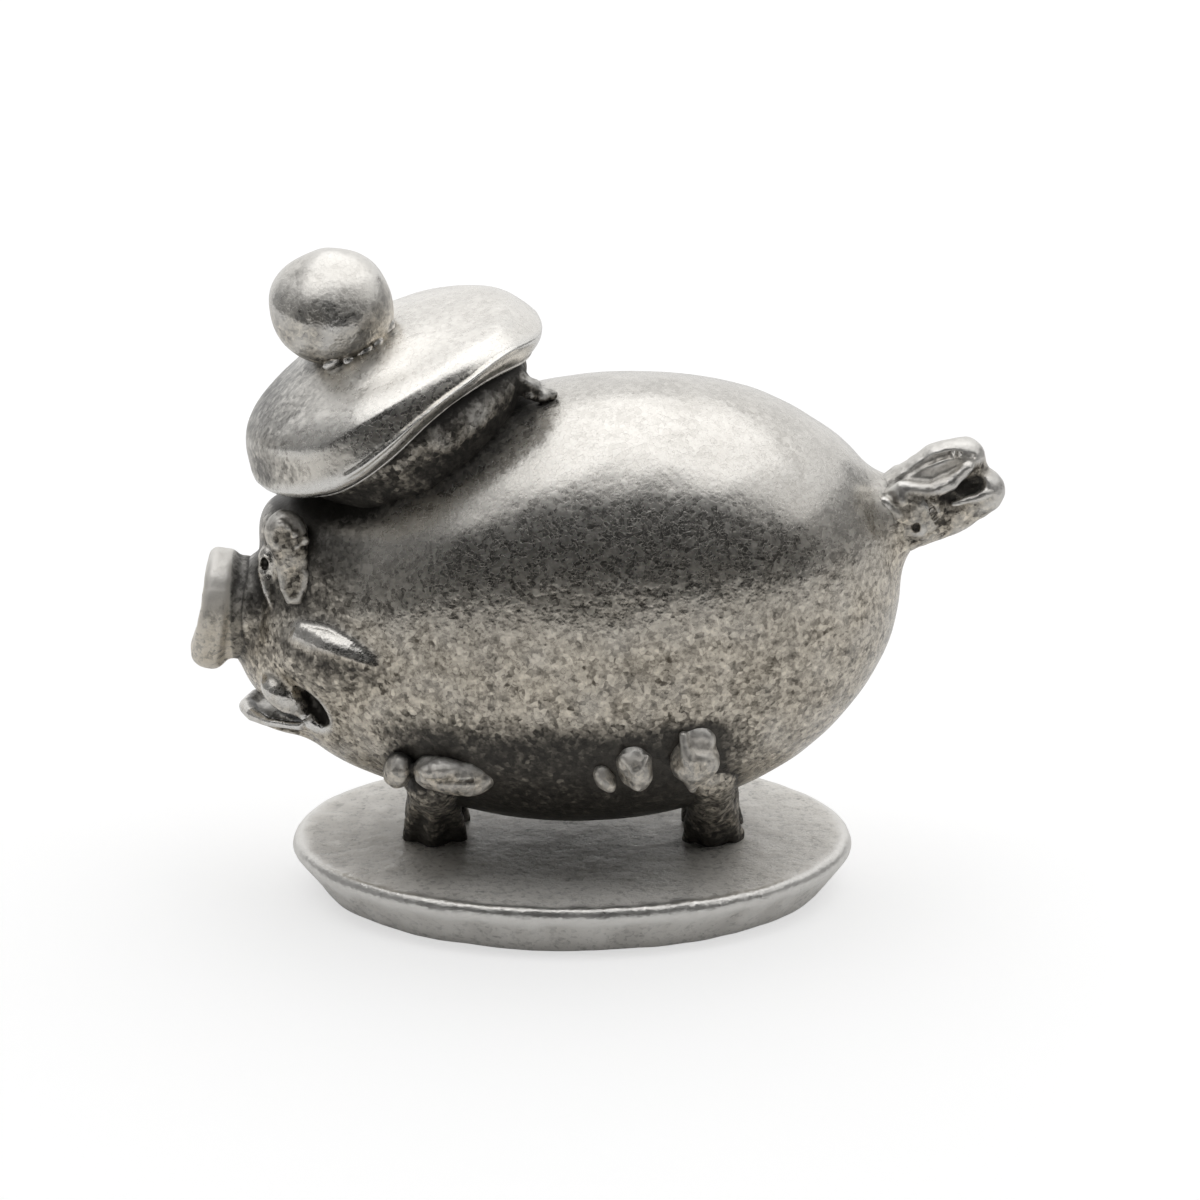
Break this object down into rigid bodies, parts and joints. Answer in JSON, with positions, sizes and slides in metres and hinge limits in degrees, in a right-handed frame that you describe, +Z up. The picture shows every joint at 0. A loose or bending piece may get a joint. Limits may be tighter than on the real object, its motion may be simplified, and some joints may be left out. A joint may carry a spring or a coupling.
{
  "type": "haggis figurine",
  "caption": "Small antiqued pewter ornament of a haggis as a stout pig-faced animal in a tilted bonnet with a ball on top, soldered by its feet to an oval base.",
  "frame": {"origin": "middle of the base's flat underside", "axes": "+Z up, +X from the snout towards the tail, +Y towards the animal's right side"},
  "size_m": [0.0405, 0.0216, 0.0333],
  "materials": {
    "pewter": "antiqued satin pewter: grainy as cast, dark in the recesses and worn bright on the edges"
  },
  "bodies": {
    "root": {"base_plate": "pewter", "body": "pewter", "snout": "pewter", "left_ear": "pewter", "right_ear": "pewter", "front_left_leg": "pewter", "front_right_leg": "pewter", "rear_left_leg": "pewter", "rear_right_leg": "pewter", "tail_tie": "pewter", "bonnet_band": "pewter", "bonnet": "pewter", "toorie": "pewter"}
  },
  "joints": []
}
